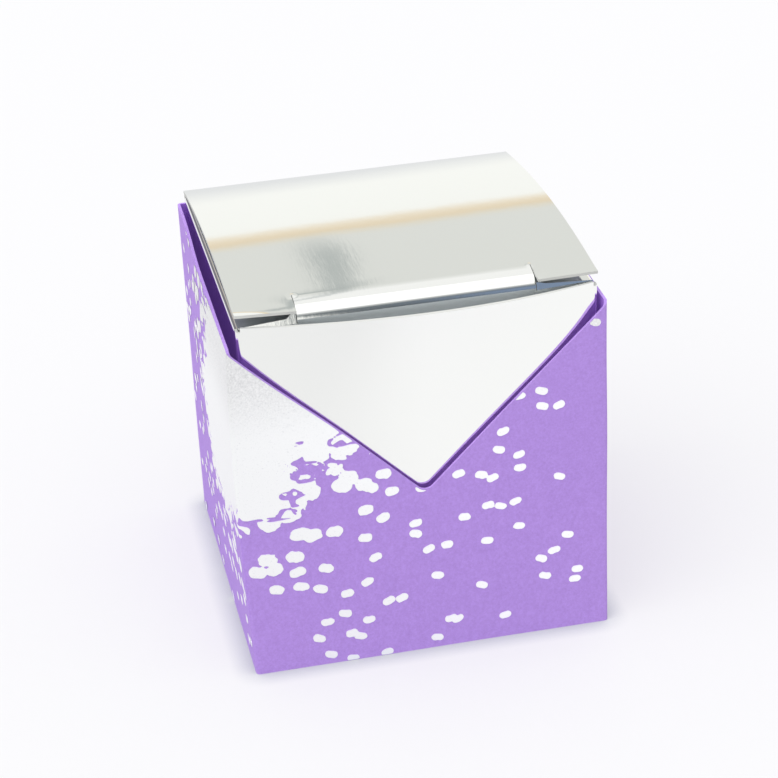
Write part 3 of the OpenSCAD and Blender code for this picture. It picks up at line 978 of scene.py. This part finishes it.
def make_floor():
    """A pale floor that reads white and keeps the box's shadow."""
    mesh = bpy.data.meshes.new("floor")
    corners = [(FLOOR_REACH * a, FLOOR_REACH * b, 0) for a, b in ((-1, -1), (1, -1), (1, 1), (-1, 1))]
    mesh.from_pydata(corners, [], [(0, 1, 2, 3)])
    floor = bpy.data.objects.new("floor", mesh)
    bpy.context.collection.objects.link(floor)
    material, nodes, links, shader = new_material("floor", srgb(169, 169, 171), roughness=0.9)
    shader.inputs["Specular IOR Level"].default_value = 0.0
    path = nodes.new("ShaderNodeLightPath")
    split = nodes.new("ShaderNodeSeparateXYZ")
    place = nodes.new("ShaderNodeTexCoord")
    links.new(place.outputs["Object"], split.inputs["Vector"])
    open_share = nodes.new("ShaderNodeAmbientOcclusion")
    open_share.samples = 8
    open_share.inputs["Distance"].default_value = CONTACT_REACH
    seen = calc(nodes, links, "MULTIPLY", path.outputs["Is Camera Ray"], FLOOR_GLOW)
    seen = calc(nodes, links, "MULTIPLY", seen, open_share.outputs["AO"])
    to_right = rising(nodes, links, split.outputs["X"], *FLOOR_SHINE_X)
    shine = calc(nodes, links, "MULTIPLY_ADD", to_right, FLOOR_SHINE_STEP, FLOOR_SHINE_LEFT)
    glow = calc(nodes, links, "MULTIPLY_ADD", path.outputs["Is Glossy Ray"], shine, seen)
    links.new(glow, shader.inputs["Emission Strength"])
    tint = mix_colors(nodes, links, open_share.outputs["AO"], CONTACT_TINT, (1, 1, 1, 1))
    links.new(tint, shader.inputs["Emission Color"])
    mesh.materials.append(material)


def dark_streak(nodes, links, across, rise):
    """How dark the mirrors' surroundings are in a soft streak behind the box: it stands
    upright, and at its top it trails off to the left."""
    def hump(offset, half_width):
        t = calc(nodes, links, "DIVIDE", offset, half_width)
        drop = calc(nodes, links, "SUBTRACT", 1, calc(nodes, links, "MULTIPLY", t, t))
        return calc(nodes, links, "POWER", calc(nodes, links, "MAXIMUM", drop, 0), 2)

    middle = calc(nodes, links, "MULTIPLY_ADD", rise, STREAK_SLANT, STREAK_FOOT)
    upright = hump(calc(nodes, links, "SUBTRACT", across, middle), STREAK_HALF_W)
    upright = calc(nodes, links, "MULTIPLY", upright, rising(nodes, links, rise, *STREAK_FADE_IN))
    level = calc(nodes, links, "MULTIPLY_ADD", across, TRAIL_SLANT, TRAIL_FOOT)
    trail = hump(calc(nodes, links, "SUBTRACT", rise, level), TRAIL_HALF_W)
    for fade in (TRAIL_FADE_IN, TRAIL_FADE_OUT):
        trail = calc(nodes, links, "MULTIPLY", trail, rising(nodes, links, across, *fade))
    return calc(nodes, links, "MAXIMUM", upright, trail)


def at(degrees):
    """The height of a direction so many degrees above level."""
    return math.sin(math.radians(degrees))


def behind_box(nodes, links, rise, across):
    """What mirrors see behind the box: bright, a warm band, grey, and bright again high up,
    with a dark streak, and dark low down on the left."""
    tilted = calc(nodes, links, "MULTIPLY_ADD", across, BAND_TILT, -BAND_TILT_CENTRE)
    tilted = calc(nodes, links, "ADD", rise, tilted)
    behind = ramp(nodes, links, tilted, (0.0, BEHIND_REAR), (at(4), BEHIND_REAR),
                  (at(8.5), BEHIND_LOW), (at(18.6), BEHIND_LOW), (at(19.8), BAND_PALE),
                  (at(21.2), BAND_WARM), (at(22.1), BAND_GREYISH), (at(22.9), BEHIND_GREY),
                  (at(36.5), BEHIND_GREY), (at(46), BEHIND_HIGH))
    streak = calc(nodes, links, "MULTIPLY", dark_streak(nodes, links, across, rise), STREAK_SHARE)
    behind = mix_colors(nodes, links, streak, behind, STREAK_COLOR)
    left = rising(nodes, links, rise, at(33), at(27))
    for fade in (LEFT_DARK_IN, LEFT_DARK_OUT):
        left = calc(nodes, links, "MULTIPLY", left, rising(nodes, links, across, *fade))
    return mix_colors(nodes, links, left, behind, DARK_LEFT)


def before_box(nodes, links, rise, across):
    """What mirrors see before the box: dark low down and bright high up, with a blue part,
    a bright window, and plain grey far to both sides."""
    front = ramp(nodes, links, rise, (0.0, FRONT_LOW), (at(30), FRONT_MIDDLE), (at(52), FRONT_HIGH))
    blue = calc(nodes, links, "MULTIPLY", rising(nodes, links, across, *BLUE_FADE_IN),
                rising(nodes, links, rise, at(40), at(18)))
    front = mix_colors(nodes, links, blue, front, FRONT_BLUE)
    beside = calc(nodes, links, "ABSOLUTE", across)
    beside = rising(nodes, links, beside, *BESIDE_FADE_IN)
    front = mix_colors(nodes, links, beside, front, BEHIND_GREY)
    window = rising(nodes, links, across, *WINDOW_FADE_IN)
    return mix_colors(nodes, links, window, front, FRONT_WINDOW)


def make_world():
    """Plain pale surroundings in plain sight, and other ones where mirrors see them."""
    world = bpy.data.worlds.new("studio")
    bpy.context.scene.world = world
    world.use_nodes = True
    nodes, links = world.node_tree.nodes, world.node_tree.links
    path = nodes.new("ShaderNodeLightPath")
    place = nodes.new("ShaderNodeTexCoord")
    split = nodes.new("ShaderNodeSeparateXYZ")
    links.new(place.outputs["Generated"], split.inputs["Vector"])
    rise = split.outputs["Z"]
    across = calc(nodes, links, "DIVIDE", split.outputs["X"], split.outputs["Y"])
    front = before_box(nodes, links, rise, across)
    behind = behind_box(nodes, links, rise, across)
    rearward = rising(nodes, links, split.outputs["Y"], *FRONT_TO_BEHIND)
    mirrored = mix_colors(nodes, links, rearward, front, behind)
    lit = mix_colors(nodes, links, path.outputs["Is Glossy Ray"], PLAIN_LIGHT, mirrored)
    plain = mix_colors(nodes, links, path.outputs["Is Camera Ray"], lit, BACKGROUND)
    links.new(plain, nodes["Background"].inputs["Color"])


def add_sun(name, azimuth, elevation, strength, spread):
    """A broad soft lamp from a direction: azimuth 0 is the front, 90 the right."""
    lamp = bpy.data.lights.new(name, "SUN")
    lamp.energy = strength
    lamp.angle = math.radians(spread)
    lamp.specular_factor = 0.0
    sun = bpy.data.objects.new(name, lamp)
    a, e = math.radians(azimuth), math.radians(elevation)
    towards = Vector((math.sin(a) * math.cos(e), -math.cos(a) * math.cos(e), math.sin(e)))
    sun.rotation_mode = "QUATERNION"
    sun.rotation_quaternion = towards.to_track_quat("Z", "Y")
    bpy.context.collection.objects.link(sun)


def make_camera():
    """The photograph's camera, as it was fitted."""
    back = Vector((math.sin(CAMERA_AZIMUTH) * math.cos(CAMERA_ELEVATION),
                   -math.cos(CAMERA_AZIMUTH) * math.cos(CAMERA_ELEVATION),
                   math.sin(CAMERA_ELEVATION)))
    level = Vector((0, 0, 1)).cross(back).normalized()
    upward = back.cross(level)
    right = level * math.cos(CAMERA_ROLL) + upward * math.sin(CAMERA_ROLL)
    up = upward * math.cos(CAMERA_ROLL) - level * math.sin(CAMERA_ROLL)
    data = bpy.data.cameras.new("camera")
    data.sensor_width = SENSOR_MM
    data.lens = CAMERA_FOCAL_PX * SENSOR_MM / PHOTO_PX
    data.clip_start = 0.01
    camera = bpy.data.objects.new("camera", data)
    place = Matrix((right, up, back)).transposed().to_4x4()
    place.translation = CAMERA_PLACE * MM
    camera.matrix_world = place
    bpy.context.collection.objects.link(camera)
    bpy.context.scene.camera = camera


def dress(piece, node, body):
    """Puts a piece in its CAD node's place, on its body."""
    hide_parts(node)
    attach(piece, body)


make_camera()
make_floor()
make_world()
add_sun("key", azimuth=-55, elevation=52, strength=1.0, spread=60)
add_sun("fill", azimuth=40, elevation=70, strength=0.25, spread=60)

purple = purple_card("purple_card", 190, 152, 237)
# The inner face is a darker copy of the sleeve's purple, as painted shade, and it carries the painted
# glow
inside = purple_card("purple_inside_painted_shade_and_glow", 150, 104, 205, glow=INSIDE_PAINTED_GLOW)
sleeve, sleeve_flap = make_sleeve([purple, inside, purple])
dress(sleeve, "sleeve", "sleeve")
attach(sleeve_flap, "sleeve")
dress(make_foil(foil_material()), "foil_print", "sleeve")

# The reverse's grey-blue is partly the board's own tone and partly painted shade, darker and bluer
# for the shaded gaps it faces in the mirrors
silver = [mirror_film(), white_board("board_reverse_painted_shade", srgb(200, 206, 212)),
          white_board("board_edge", srgb(208, 209, 205))]
dress(make_carton(silver), "carton", "carton")
dress(make_lid(silver), "lid", "lid")

bpy.context.scene.view_settings.view_transform = "Standard"
